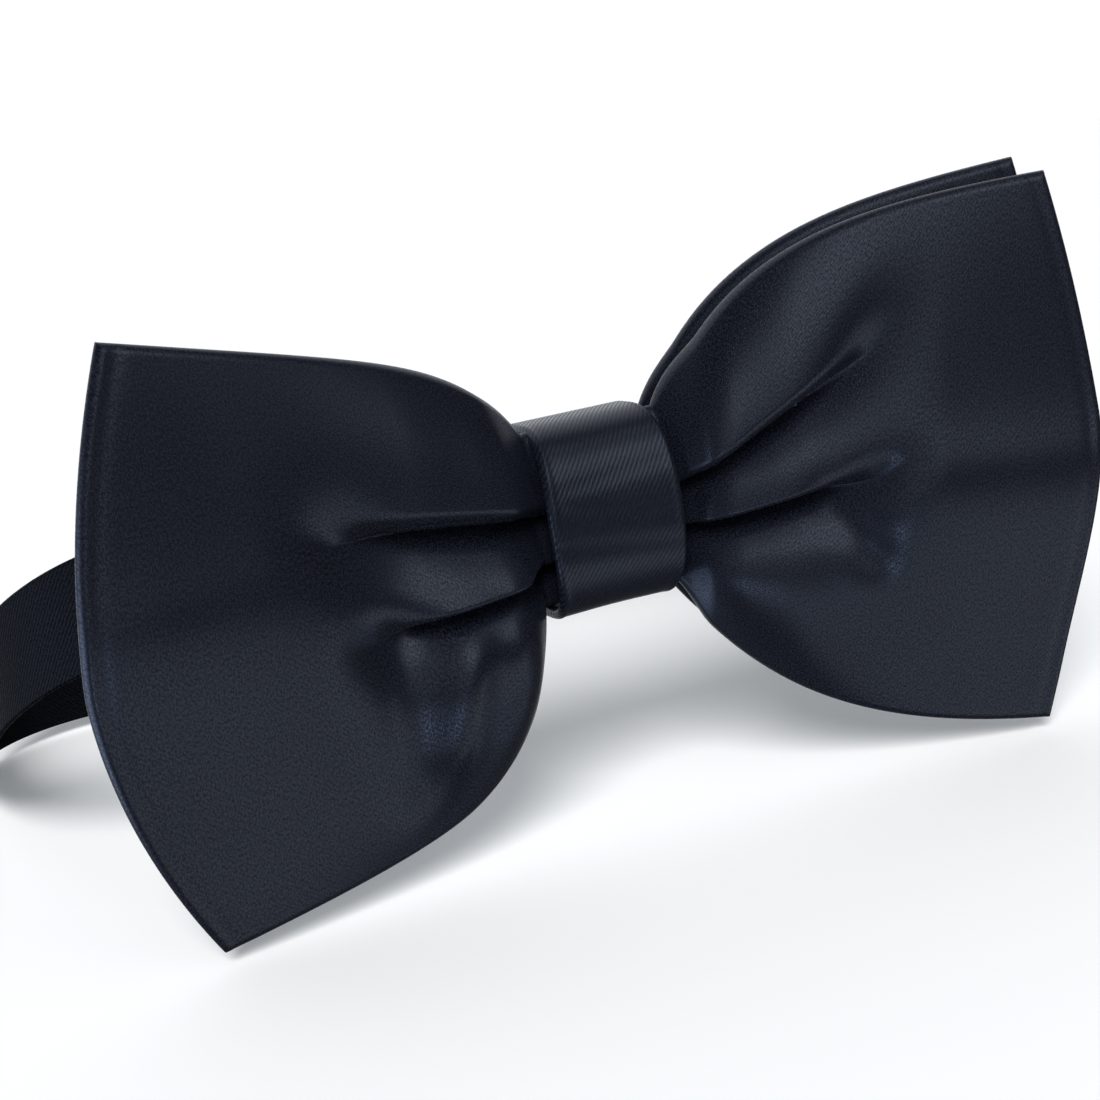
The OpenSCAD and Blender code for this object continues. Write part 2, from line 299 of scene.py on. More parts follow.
def satin(name, dark, light, roughness=0.30, twill=0.55, twill_turn=0.8, speckle=1.0,
          relief=0.03, ribs=0.45, sheen=0.015, specular=0.5):
    """Woven satin: fine diagonal ribs crossed by the yarns, with slubs and a soft drift of
    colour. twill is the ribs' pitch and relief the weave's depth, both in mm."""
    material, nodes, links = node_tree(name)
    shader = nodes["Principled BSDF"]
    plain = texture_vector(nodes, links, (1.0, 1.0))
    rib_vector = texture_vector(nodes, links, (WAVE_PERIOD / twill,) * 2, twill_turn)
    rib_bands = wave(nodes, links, rib_vector, 0.6)
    yarn_vector = texture_vector(nodes, links, (WAVE_PERIOD / YARN_PITCH,) * 2,
                                 twill_turn + YARN_TURN)
    yarns = wave(nodes, links, yarn_vector, 0.8)
    slubs = noise(nodes, links, texture_vector(nodes, links, (1.0, 0.6)), 4.6, 1.0, 0.5)
    grain = noise(nodes, links, plain, 8.0, 1.0, 0.6)
    drift = noise(nodes, links, plain, 0.07, 2.0, 0.5)

    def around_half(parts):
        """Adds up textures, each turned about its middle, round 0.5."""
        total = 0.5 - 0.5 * sum(amount for _, amount in parts)
        for texture, amount in parts:
            part = maths(nodes, links, "MULTIPLY", texture, amount)
            total = maths(nodes, links, "ADD", part, total)
        return total

    weave = around_half([(rib_bands, ribs), (yarns, 0.10), (slubs, 0.9 * speckle),
                         (grain, 0.5 * speckle)])
    shade = around_half([(rib_bands, 0.3 * ribs), (yarns, 0.05), (slubs, 0.9 * speckle),
                         (grain, speckle), (drift, 0.12)])
    colour = ramp(nodes, links, shade, [(0.38, dark), (0.64, light)])
    links.new(colour, shader.inputs["Base Color"])
    rough = nodes.new("ShaderNodeMapRange")
    rough.inputs["From Min"].default_value = 0.3
    rough.inputs["From Max"].default_value = 0.7
    rough.inputs["To Min"].default_value = roughness + ROUGHNESS_SPREAD
    rough.inputs["To Max"].default_value = roughness - ROUGHNESS_SPREAD
    links.new(weave, rough.inputs["Value"])
    links.new(rough.outputs["Result"], shader.inputs["Roughness"])
    shader.inputs["Specular IOR Level"].default_value = specular
    shader.inputs["Specular Tint"].default_value = GLOSS_TINT
    shader.inputs["Anisotropic"].default_value = 0.5
    shader.inputs["Sheen Weight"].default_value = sheen
    shader.inputs["Sheen Roughness"].default_value = 0.45
    shader.inputs["Sheen Tint"].default_value = SHEEN_TINT
    tangent = nodes.new("ShaderNodeTangent")
    tangent.direction_type = "UV_MAP"
    tangent.uv_map = "cloth"
    links.new(tangent.outputs["Tangent"], shader.inputs["Tangent"])
    bump = nodes.new("ShaderNodeBump")
    bump.inputs["Distance"].default_value = relief * MM
    links.new(weave, bump.inputs["Height"])
    links.new(bump.outputs["Normal"], shader.inputs["Normal"])
    return material


bow_satin = satin("bow_satin", NAVY_SHADE, NAVY, twill=0.42, relief=0.012, ribs=0.12)
knot_satin = satin("knot_satin", NAVY_SHADE, NAVY, twill=0.5, twill_turn=0.6, speckle=0.5,
                   relief=0.025)
# The strap is dark and matte, with the shade it lies in painted into its colour
strap_satin = satin("strap_satin", STRAP_PAINTED_SHADE_DEEP, STRAP_PAINTED_SHADE, sheen=0.0, roughness=0.45, specular=0.05)


def nonwoven(name):
    """Interlining: matted short fibres, pressed flat."""
    material, nodes, links = node_tree(name)
    shader = nodes["Principled BSDF"]
    fibres = noise(nodes, links, texture_vector(nodes, links, (0.5, 2.2), 0.4), 1.6, 5.0, 0.75)
    matting = noise(nodes, links, texture_vector(nodes, links, (1.0, 1.0)), 0.9, 3.0, 0.6)
    blend = maths(nodes, links, "ADD", maths(nodes, links, "MULTIPLY", fibres, 0.7),
                  maths(nodes, links, "MULTIPLY", matting, 0.4))
    links.new(ramp(nodes, links, blend, [(0.3, (0.03, 0.03, 0.036)), (0.8, (0.075, 0.075, 0.085))]),
              shader.inputs["Base Color"])
    shader.inputs["Roughness"].default_value = 0.9
    bump = nodes.new("ShaderNodeBump")
    bump.inputs["Distance"].default_value = 0.06 * MM
    links.new(blend, bump.inputs["Height"])
    links.new(bump.outputs["Normal"], shader.inputs["Normal"])
    return material


def object_vector(nodes, links, scale):
    """Row-frame coordinates in mm, for CAD nodes and small pieces, which have no cloth map."""
    where = nodes.new("ShaderNodeTexCoord")
    mapping = nodes.new("ShaderNodeMapping")
    mapping.inputs["Scale"].default_value = tuple(k / MM for k in scale)
    links.new(where.outputs["Object"], mapping.inputs["Vector"])
    return mapping.outputs["Vector"]


def twisted_thread(name):
    material, nodes, links = node_tree(name)
    shader = nodes["Principled BSDF"]
    plies = wave(nodes, links, object_vector(nodes, links, (1.2, 1.2, 1.2)), 0.8)
    fuzz = noise(nodes, links, object_vector(nodes, links, (1, 1, 1)), 7.0, 3.0, 0.6)
    blend = maths(nodes, links, "ADD", maths(nodes, links, "MULTIPLY", plies, 0.5),
                  maths(nodes, links, "MULTIPLY", fuzz, 0.5))
    links.new(ramp(nodes, links, blend, [(0.2, (0.004, 0.005, 0.011)), (0.9, (0.02, 0.024, 0.045))]),
              shader.inputs["Base Color"])
    shader.inputs["Roughness"].default_value = 0.6
    shader.inputs["Sheen Weight"].default_value = 0.2
    bump = nodes.new("ShaderNodeBump")
    bump.inputs["Distance"].default_value = 0.05 * MM
    links.new(blend, bump.inputs["Height"])
    links.new(bump.outputs["Normal"], shader.inputs["Normal"])
    return material


def plated_metal(name):
    """Nickel plate over stamped and drawn steel: hair scratches and a little dulling."""
    material, nodes, links = node_tree(name)
    shader = nodes["Principled BSDF"]
    hair = noise(nodes, links, object_vector(nodes, links, (0.25, 0.25, 5.0)), 2.0, 3.0, 0.6)
    haze = noise(nodes, links, object_vector(nodes, links, (1, 1, 1)), 0.35, 3.0, 0.6)
    links.new(ramp(nodes, links, haze, [(0.3, (0.62, 0.62, 0.60)), (0.75, (0.74, 0.74, 0.72))]),
              shader.inputs["Base Color"])
    rough = nodes.new("ShaderNodeMapRange")
    rough.inputs["To Min"].default_value = 0.10
    rough.inputs["To Max"].default_value = 0.24
    links.new(haze, rough.inputs["Value"])
    links.new(rough.outputs["Result"], shader.inputs["Roughness"])
    shader.inputs["Metallic"].default_value = 1.0
    bump = nodes.new("ShaderNodeBump")
    bump.inputs["Distance"].default_value = 0.002 * MM
    links.new(hair, bump.inputs["Height"])
    links.new(bump.outputs["Normal"], shader.inputs["Normal"])
    return material


lining = nonwoven("interlining")
thread = twisted_thread("thread")
metal = plated_metal("metal")


# ---- Metal parts and binding ----

SLIDE_EDGE_R = 0.22


def finish_cad_nodes():
    """Nodes whose shape is right stay, and take a finished material."""
    for node, material in (("eye_ring", metal), ("hook", metal), ("gather_binding", thread)):
        slots = frame["nodes"][node].data.materials
        slots.clear()
        slots.append(material)


def add_slide():
    """The stamped slide, with its edges tumbled round."""
    source = frame["nodes"]["slide_buckle"]
    work = bmesh.new()
    work.from_mesh(source.data)
    bmesh.ops.transform(work, matrix=source.matrix_world, verts=work.verts)
    bmesh.ops.remove_doubles(work, verts=work.verts, dist=WELD * MM)
    bmesh.ops.dissolve_limit(work, angle_limit=math.radians(2), verts=work.verts,
                             edges=work.edges)
    sharp = [e for e in work.edges if len(e.link_faces) == 2 and e.calc_face_angle() > 0.8]
    bmesh.ops.bevel(work, geom=sharp, offset=SLIDE_EDGE_R * MM, segments=3, profile=0.5,
                    affect="EDGES", clamp_overlap=True)
    data = bpy.data.meshes.new("slide_rounded")
    work.to_mesh(data)
    work.free()
    data.polygons.foreach_set("use_smooth", [True] * len(data.polygons))
    data.materials.append(metal)
    slide = bpy.data.objects.new("slide_rounded", data)
    bpy.context.scene.collection.objects.link(slide)
    data.set_sharp_from_angle(angle=math.radians(35))
    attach(slide, "slide")
    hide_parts("slide_buckle")


finish_cad_nodes()
add_slide()


# ---- Wings ----
# Each wing is worked out in its own flat frame: o runs out from the knot's edge, w runs up,
# and the depth f is positive towards the viewer. v runs from -1 on the wing's bottom edge to
# 1 on its top edge. Sweep, lean and droop then place the wing.

def turn_matrix(axis, degrees):
    return np.array(Matrix.Rotation(math.radians(degrees), 3, axis))


def place_wing(points, side, y, sweep, lean, droop):
    """Points (o, f, w) in the row frame. The turn grows from none inside the knot."""
    grow = smooth(points[..., 0] / 5.0)
    flat = points.copy()
    flat[..., 1] *= -1
    full = turn_matrix("Z", -sweep) @ turn_matrix("X", lean) @ turn_matrix("Y", droop)
    turned = flat @ full.T
    out = flat * (1 - grow[..., None]) + turned * grow[..., None]
    out[..., 0] = (out[..., 0] + ROOT_X) * side
    out[..., 1] += y
    return out


def crease(distance, over, under, soft):
    """1 on a pleat's line. The cloth that hangs over it (distance > 0) is rounded and done
    within `over`; the cloth that runs in under it comes up slowly within `under`."""
    eased = np.sqrt(distance ** 2 + soft ** 2) - soft
    rounded = 1 - np.sqrt(np.clip(1 - np.clip(1 - distance / over, 0, 1) ** 2, 0, 1))
    hanging = mix(rounded, np.exp(-eased / over), smooth(soft / 2.5))
    return np.where(distance > 0, hanging, np.exp(-eased / under))


# How softly a terrace's slope ends at its line, the run below the line, and its fade along o
TERRACE_SOFT, TERRACE_RUN, TERRACE_FADE = 12.0, 26, 14


def terrace(distance, rise):
    """A slope that comes up slowly to a line from above and runs on nearly flat below it."""
    from_line = (distance + np.sqrt(distance ** 2 + TERRACE_SOFT)) / 2
    return np.exp(-from_line / rise) * (1 - smooth(-distance / TERRACE_RUN))


def edge_height(o, shape):
    """Height of a wing's folded edge above its middle line: shape is (height at the knot,
    quick rise, reach of that rise, slope further out)."""
    base, rise, reach, slope = shape
    out = np.maximum(o, 0)
    return base + rise * (1 - np.exp(-out / reach)) + slope * out


def crease_line(start, slope, bend, level):
    """A crease's height over o: straight at first, levelling off."""
    return lambda o: start + slope * bend * (1 - np.exp(-o / bend)) + level * o


class Wing:
    """One wing's outline, creases and fullness, as smooth functions of o and v.

    top, bottom: shapes of the folded edges, see edge_height. end: see end_reach.
    lobes: (amount, o of the peak, fade) below and above the creases.
    creases: (line, depth, reach of the cloth over it, reach of the cloth under it, last o).
    folds: soft valleys or swells, as (o, w of one end, o, w of the other, amount, width).
    terraces: (line, amount, rise, first o, last o).
    root: fullness at the knot. dome: how far the middle stands forward, across and along."""

    def __init__(self, side, y, sweep, lean, droop, top, bottom, end, lobes, creases, folds=(),
                 terraces=(), root=1.0, dome=(2.6, 1.2)):
        self.side, self.y = side, y
        self.sweep, self.lean, self.droop = sweep, lean, droop
        self.top, self.bottom, self.end = top, bottom, end
        self.lobes, self.creases, self.folds = lobes, creases, folds
        self.terraces = terraces
        self.root, self.dome = root, dome

    def height(self, o, v):
        """w at (o, v): from the bottom edge through the middle line to the top edge."""
        top, bottom = edge_height(o, self.top), edge_height(o, self.bottom)
        return v * mix(bottom, top, smooth(v * 0.5 + 0.5))

    def fullness(self, o, v, w):
        """How far the middle surface stands forward of the gather's middle."""
        out = np.maximum(o, 0)
        x = np.abs(v)
        held = mix(0.3, 1.0, smooth((o + 5) / 5)) * np.exp(-(out / 7) ** 2)
        total = self.root * held * (1.0 + 2.2 * (1 - x ** 2))
        t = out / 50.0
        grown = smooth(out / 16)
        total = total + grown * (self.dome[0] * (1 - v ** 2) * mix(1.0, 0.7, t)
                                 + self.dome[1] * (1 - (2 * t - 1) ** 2))
        for sign, (amount, peak, fade) in zip((-1, 1), self.lobes):
            swell = np.where(out < peak, np.sin(np.minimum(out / peak, 1) * math.pi / 2),
                             np.exp(-(np.maximum(out - peak, 0) / fade) ** 1.4))
            crown = (1 - x ** mix(2.3, 3.0, smooth(out / 20))) ** 0.85
            total = total + amount * swell * crown * smooth(sign * v * 2.2 + 0.5)
        for (line, depth, over, under, last) in self.creases:
            # sharp and deep beside the knot, wide, soft and shallow at its end
            soft = mix(0.2, 3.0, smooth((out - last * 0.45) / (last * 0.5)))
            amount = depth * mix(0.6, 1.0, smooth((o + 2) / 6))
            amount = amount * (1 - smooth((out - last * 0.4) / (last * 0.6)))
            along = smooth(out / last)
            total = total - amount * crease(w - line(out), mix(over, over * 1.7, along),
                                            mix(under * 0.6, under, along), soft)
        for (line, amount, rise, first, last) in self.terraces:
            amount = amount * smooth((out - first) / TERRACE_FADE)
            amount = amount * (1 - 0.7 * smooth((out - last + TERRACE_FADE) / TERRACE_FADE))
            total = total + amount * terrace(w - line(out), rise)
        for (o0, w0, o1, w1, amount, width) in self.folds:
            run = np.array([o1 - o0, w1 - w0])
            length = np.hypot(*run)
            run = run / length
            along = (out - o0) * run[0] + (w - w0) * run[1]
            beside = (w - w0) * run[0] - (out - o0) * run[1]
            past = along - np.clip(along, 0, length)
            total = total + amount * gauss(beside, width) * gauss(past, width * 1.6)
        return total


def wing_parameters(fine):
    """Rows (o in mm inside the knot, then shares of the wing's reach) and columns (v)."""
    k = 1.0 if fine else 0.4
    n = lambda count: max(3, round(count * k))
    inner = spaced([(-7.4, -2.0, n(5), 0), (-2.0, 0.0, n(5), 0)])
    outer = spaced([(0.0, 0.30, n(56), 0), (0.30, 0.94, n(56), 0), (0.94, 1.0, n(26), 1)])
    v = spaced([(-1.0, -0.93, n(16), -1), (-0.93, -0.3, n(52), 0), (-0.3, 0.36, n(80), 0),
                (0.36, 0.93, n(48), 0), (0.93, 1.0, n(16), 1)])
    return inner, outer, v


def end_reach(v, end):
    """Distance of the end edge from the knot: end is (apex o, apex v, top corner o, bottom
    corner o, roundness above, roundness below)."""
    apex, apex_v, top, bottom, above, below = end
    up = np.clip((v - apex_v) / (1 - apex_v), 0, 1)
    down = np.clip((apex_v - v) / (1 + apex_v), 0, 1)
    return apex - (apex - top) * up ** above - (apex - bottom) * down ** below


SATIN_SHEET_T = 1.8
LINING_T = 0.5
LINING_INSET = 1.6
# Radius of the folded edges, and the hollow behind the rolled end: share, place and width
ROLL_R = 0.9
HOLLOW, HOLLOW_AT, HOLLOW_W = 0.12, 1.7, 0.8


def wing_cloth(wing, thick, inset, fine):
    """Front and back grids of one wing in the row frame, and its cloth coordinates. inset is
    how far a lining's edges lie inside the satin's."""
    inner, outer, v = wing_parameters(fine)
    reach = end_reach(v, wing.end)[None, :] - inset
    start = 0.0 if inset == 0 else 0.4
    o = np.concatenate([np.repeat(inner[:, None] + start, len(v), 1),
                        start + outer[:, None] * (reach - start)])
    v = np.repeat(v[None, :], len(o), 0)
    w = wing.height(o, v)
    half = edge_height(o, wing.top) * (v > 0) + edge_height(o, wing.bottom) * (v <= 0)
    w = w * (1 - inset / half)
    depth = wing.fullness(o, v, w)
    side_gap = half - inset - np.abs(w)
    end_gap = np.where(o > 0, reach - o, 99.0)
    roll = min(ROLL_R, thick * 0.5)
    shoulder = 1 - np.minimum(np.minimum(side_gap, end_gap) / roll, 1)
    body = np.sqrt(np.clip(1 - shoulder ** 2, 0, 1))
    if inset == 0:
        body = body * (1 - HOLLOW * gauss(end_gap - HOLLOW_AT, HOLLOW_W))
    half_thick = thick / 2 * body * mix(0.78, 1.0, smooth((o + 1) / 4))
    grids = [place_wing(np.stack([o, depth + sign * half_thick, w], -1), wing.side, wing.y,
                        wing.sweep, wing.lean, wing.droop) for sign in (1, -1)]
    return grids[0], grids[1], np.stack([o, v * BOW_HALF], -1)


# The back wings are shallow copies of the front ones.
BACK_FORM = dict(
    lobes=((0.8, 9.0, 14.0), (0.8, 9.0, 14.0)),
    creases=[(crease_line(1.0, 0.2, 20.0, 0.0), 0.8, 2.0, 3.0, 24.0),
             (crease_line(-4.0, 0.0, 20.0, 0.0), 0.8, 2.0, 3.0, 22.0)],
    root=0.2)
WINGS = {
    "front_bow_left": Wing(
        side=-1, y=FRONT_GATHER_Y, sweep=9.4, lean=6.3, droop=3.3,
        top=(10.5, 7.8, 5.5, 0.31), bottom=(9.3, 20.0, 5.5, 0.09),
        end=(53.0, -0.06, 43.5, 44.8, 1.5, 1.85),
        lobes=((5.2, 7.0, 13.0), (3.2, 8.0, 13.0)),
        creases=[(crease_line(1.1, 0.27, 45.0, 0.0), 5.4, 2.2, 8.0, 34.0),
                 (crease_line(-4.7, 0.0, 9.0, -0.03), 5.0, 0.9, 4.5, 30.0)],
        terraces=[(crease_line(4.2, 0.04, 400.0, 0.0), 1.6, 4.5, 16.0, 58.0)],
        folds=[(13.0, -9.5, 15.5, -19, 1.1, 2.9), (20.5, -11, 21.5, -20, -0.9, 3.2)]),
    "front_bow_right": Wing(
        side=1, y=FRONT_GATHER_Y, sweep=13.7, lean=4.1, droop=4.5,
        top=(10.5, 20.0, 11.0, 0.05), bottom=(9.3, 24.5, 16.0, 0.0),
        end=(51.3, 0.12, 45.8, 46.0, 1.35, 1.4),
        lobes=((3.2, 8.0, 13.0), (4.6, 7.0, 13.0)),
        creases=[(crease_line(0.6, 0.59, 400.0, 0.0), 5.2, 1.9, 7.0, 33.0),
                 (crease_line(-4.0, 0.19, 400.0, 0.0), 5.2, 0.9, 4.5, 32.0)],
        terraces=[(crease_line(2.0, -0.02, 400.0, 0.0), 2.6, 5.5, 14.0, 64.0)],
        folds=[(19.3, -3.0, 22.5, -7.5, -0.8, 2.4)]),
    "back_bow_left": Wing(
        side=-1, y=BACK_GATHER_Y, sweep=8.4, lean=5.0, droop=3.3,
        top=(9.5, 7.8, 5.5, 0.29), bottom=(9.3, 17.0, 6.5, 0.12),
        end=(50.4, -0.04, 41.5, 42.5, 1.5, 1.8), **BACK_FORM),
    "back_bow_right": Wing(
        side=1, y=BACK_GATHER_Y, sweep=10.7, lean=5.0, droop=1.6,
        top=(9.5, 20.5, 11.0, 0.05), bottom=(9.3, 22.5, 16.0, 0.0),
        end=(51.0, 0.12, 46.5, 45.0, 1.35, 1.4), **BACK_FORM),
}


def add_wings():
    """Each wing's satin and, inside it, its lining. The left wing's satin is also the gather."""
    for node, wing in WINGS.items():
        lining_node = node.replace("bow", "interlining")
        for piece, thick, inset, material in ((node, SATIN_SHEET_T, 0.0, bow_satin),
                                              (lining_node, LINING_T, LINING_INSET, lining)):
            front, back, uv = wing_cloth(wing, thick, inset, fine=inset == 0)
            sheet = shell_object(piece + "_cloth", front, back, uv, material)
            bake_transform(sheet)
            stands_for = [piece]
            if inset == 0 and wing.side < 0:
                stands_for.append(node.replace("bow_left", "gather"))
            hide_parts(*stands_for)


add_wings()


# ---- Knot band ----

KNOT_MID_Y, KNOT_FRONT_DEPTH, KNOT_BACK_DEPTH, KNOT_HALF_H = -6.6, 8.1, 6.6, 11.0
KNOT_BACK_HALF_W, KNOT_FRONT_HALF_W = 7.25, 8.0
KNOT_T, KNOT_LINING_T = 1.2, 0.4
KNOT_POINTS = 240


def knot_section(count):
    """The band's outer path round both bows, from the middle of its back: points and outward
    normals in (y, z), and the distance along it."""
    t = np.linspace(0, 2 * math.pi, count, endpoint=False) + math.pi
    c, s = np.cos(t), np.sin(t)
    power = np.where(c > 0, 2.0 / 2.7, 2.0 / 4.5)
    depth = np.where(c > 0, KNOT_FRONT_DEPTH, KNOT_BACK_DEPTH)
    path = np.stack([KNOT_MID_Y - np.sign(c) * depth * np.abs(c) ** power,
                     KNOT_HALF_H * np.sign(s) * np.abs(s) ** power], -1)
    dense = np.concatenate([path, path[:1]])
    length = np.concatenate([[0], np.cumsum(np.linalg.norm(np.diff(dense, axis=0), axis=1))])
    even = np.linspace(0, length[-1], count, endpoint=False)
    path = np.stack([np.interp(even, length, dense[:, k]) for k in (0, 1)], -1)
    along = np.roll(path, -2, 0) - np.roll(path, 2, 0)
    along /= np.linalg.norm(along, axis=1)[:, None]
    normal = np.stack([along[:, 1], -along[:, 0]], -1)
    normal *= np.sign(np.sum(normal * (path - [KNOT_MID_Y, 0]), 1))[:, None]
    return path, normal, even


def knot_sheet(name, material, outer_lift, thick, narrower, folds):
    """A closed band whose outer face lies outer_lift under the knot's outline. With folds,
    its front has a hollow middle, turned edges and three shallow drag lines."""
    path, normal, s = knot_section(KNOT_POINTS)
    forward = smooth((-path[:, 0] - 4) / 8)
    wider = KNOT_FRONT_HALF_W - KNOT_BACK_HALF_W
    half = KNOT_BACK_HALF_W + wider * forward * (1 - (path[:, 1] / KNOT_HALF_H) ** 2) - narrower
    a = np.sin(np.linspace(-1, 1, 65) * math.pi / 2)
    points, uv = [], []
    for face, across in ((1, a), (-1, a[::-1])):
        for x in across:
            gap = (1 - abs(x)) * half
            shoulder = 1 - np.minimum(gap / (thick * 0.55), 1)
            lift = face * thick / 2 * np.sqrt(np.clip(1 - shoulder ** 2, 0, 1))
            if folds and face > 0:
                z = path[:, 1]
                lift = lift - forward * (0.22 * gauss(x, 0.8) - 0.10 * gauss(abs(x) - 0.92, 0.05)
                                         + 0.10 * gauss(z + 3.2 + 1.1 * x, 1.2)
                                         + 0.07 * gauss(z - 4.6 - 0.8 * x, 1.0)
                                         + 0.05 * gauss(z - 0.8 + 2.2 * x, 0.8))
            off = lift - thick / 2 - outer_lift
            points.append(np.stack([x * half, path[:, 0] + normal[:, 0] * off,
                                    path[:, 1] + normal[:, 1] * off], -1))
            uv.append(np.stack([np.full(len(s), x * KNOT_FRONT_HALF_W), s], -1))
    points, uv = np.stack(points, 1), np.stack(uv, 1)
    points, uv = (np.concatenate([grid, grid[:1]]) for grid in (points, uv))
    uv[-1, :, 1] = uv[-2, :, 1] + s[1]
    rows, ring = points.shape[:2]
    return mesh_object(name, points.reshape(-1, 3), loop_grid_faces(rows, ring),
                       uv.reshape(-1, 2), material, WELD)


def add_knot():
    band = knot_sheet("knot_band_cloth", knot_satin, 0.0, KNOT_T, 0.0, True)
    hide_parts("knot_band")
    stiffener = knot_sheet("knot_interlining_cloth", lining, KNOT_T + 0.1, KNOT_LINING_T, 0.6,
                           False)
    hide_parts("knot_interlining")
    for piece in (band, stiffener):
        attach(piece, "knot")


add_knot()


# ---- Strap ----
# s is the distance along its middle line from the knot's middle, positive on the right side.
# A point of the line is (x, y, z, heading).

# Radius of the tape's folded edges
EDGE_R = 0.42


def strap_point(s):
    """Straight through the knot, round the front bend, back along the side and in at the nape."""
    a = abs(s)
    if a < S_FRONT:
        x, y, heading = a, STRAP_Y, 0.0
    elif a < S_SIDE:
        heading = (a - S_FRONT) / FRONT_R
        x, y = S_FRONT + FRONT_R * math.sin(heading), STRAP_Y + FRONT_R * (1 - math.cos(heading))
    elif a < S_REAR:
        x, y, heading = FRONT + FRONT_R, STRAP_Y + FRONT_R + a - S_SIDE, math.pi / 2
    elif a < S_NAPE:
        turn = (a - S_REAR) / REAR_R
        x = NAPE_HALF + REAR_R * math.cos(turn)
        y = STRAP_Y + FRONT_R + SIDE + REAR_R * math.sin(turn)
        heading = math.pi / 2 + turn
    else:
        x, y, heading = NAPE_HALF - (a - S_NAPE), NAPE_Y, math.pi
    z = -FALL * float(smooth((a - FALL_START) / FALL_RUN))
    return (x, y, z, heading) if s >= 0 else (-x, y, z, -heading)


def strap_line(s0, s1, count):
    return [strap_point(s) for s in np.linspace(s0, s1, count + 1)]


def nape(x, out, heading):
    """A point behind the neck, lying `out` further back than the inner ply."""
    return (x, NAPE_Y + out, -FALL, heading)


def nape_line(x0, x1, out0, out1, heading, count):
    return [nape(x0 + (x1 - x0) * t, out0 + (out1 - out0) * float(smooth(t)), heading)
            for t in np.linspace(0, 1, count + 1)]


def turn_round(x, out, side):
    """Half turn round a bar at x, from the inner ply to the outer one."""
    return [nape(x - side * FOLD_R * math.sin(a), out + FOLD_R * (1 - math.cos(a)),
                 (math.pi if side > 0 else 0) - side * a)
            for a in np.linspace(0, math.pi, 25)[1:-1]]


def tail_line(x, out, side, length):
    """Tail that comes back from a bar and lies down on the ply below it."""
    heading = 0.0 if side > 0 else math.pi
    high, low = out + 2 * FOLD_R, out + PLY_LIFT
    return [nape(x + side * d, mix(high, low, float(smooth((d - 1) / 4))), heading)
            for d in np.linspace(0, length, 28)]


def tape_object(name, line, cut=False):
    """Folded satin tape on edge along a line of points, with rounded edges and ends. A tape
    that runs on in another object has its first end cut square."""
    line = np.array(line)
    spans = np.linalg.norm(np.diff(line[:, :3], axis=0), axis=1)
    length = np.concatenate([[0], np.cumsum(spans)])
    count = max(8, int(length[-1] / 0.7))
    dense = np.linspace(0, length[-1], count)
    ends = np.concatenate([[0.06, 0.16, 0.34], length[-1] - np.array([0.34, 0.16, 0.06])])
    dense = np.unique(np.concatenate([dense, ends]))
    rows = np.stack([np.interp(dense, length, line[:, k]) for k in range(4)], -1)
    normal = np.stack([-np.sin(rows[:, 3]), np.cos(rows[:, 3]), np.zeros(len(rows))], -1)
    across = np.concatenate([[-1, -0.996, -0.985, -0.965, -0.94], np.linspace(-0.9, 0.9, 19),
                             [0.94, 0.965, 0.985, 0.996, 1]])
    half = STRAP_W / 2
    end_gap = length[-1] - dense if cut else np.minimum(dense, length[-1] - dense)
    grids = []
    for face in (1, -1):
        gap = np.minimum((1 - np.abs(across))[None, :] * half, end_gap[:, None] * 1.5)
        shoulder = 1 - np.minimum(gap / EDGE_R, 1)
        lift = face * STRAP_T / 2 * np.sqrt(np.clip(1 - shoulder ** 2, 0, 1))
        seam = 0.07 * gauss(np.abs(across) - 0.93, 0.03) + 0.05 * gauss(across, 0.7)
        ripple = 0.05 * np.sin(dense / 6.1)[:, None] * across[None, :]
        lift = lift * (1 - seam[None, :] * (face > 0)) + ripple
        grids.append(rows[:, None, :3] + normal[:, None, :] * lift[..., None]
                     + np.array([0, 0, half]) * across[None, :, None])
    uv = np.stack(np.broadcast_arrays(dense[:, None], across[None, :] * half), -1)
    return shell_object(name, grids[0], grids[1], uv, strap_satin)


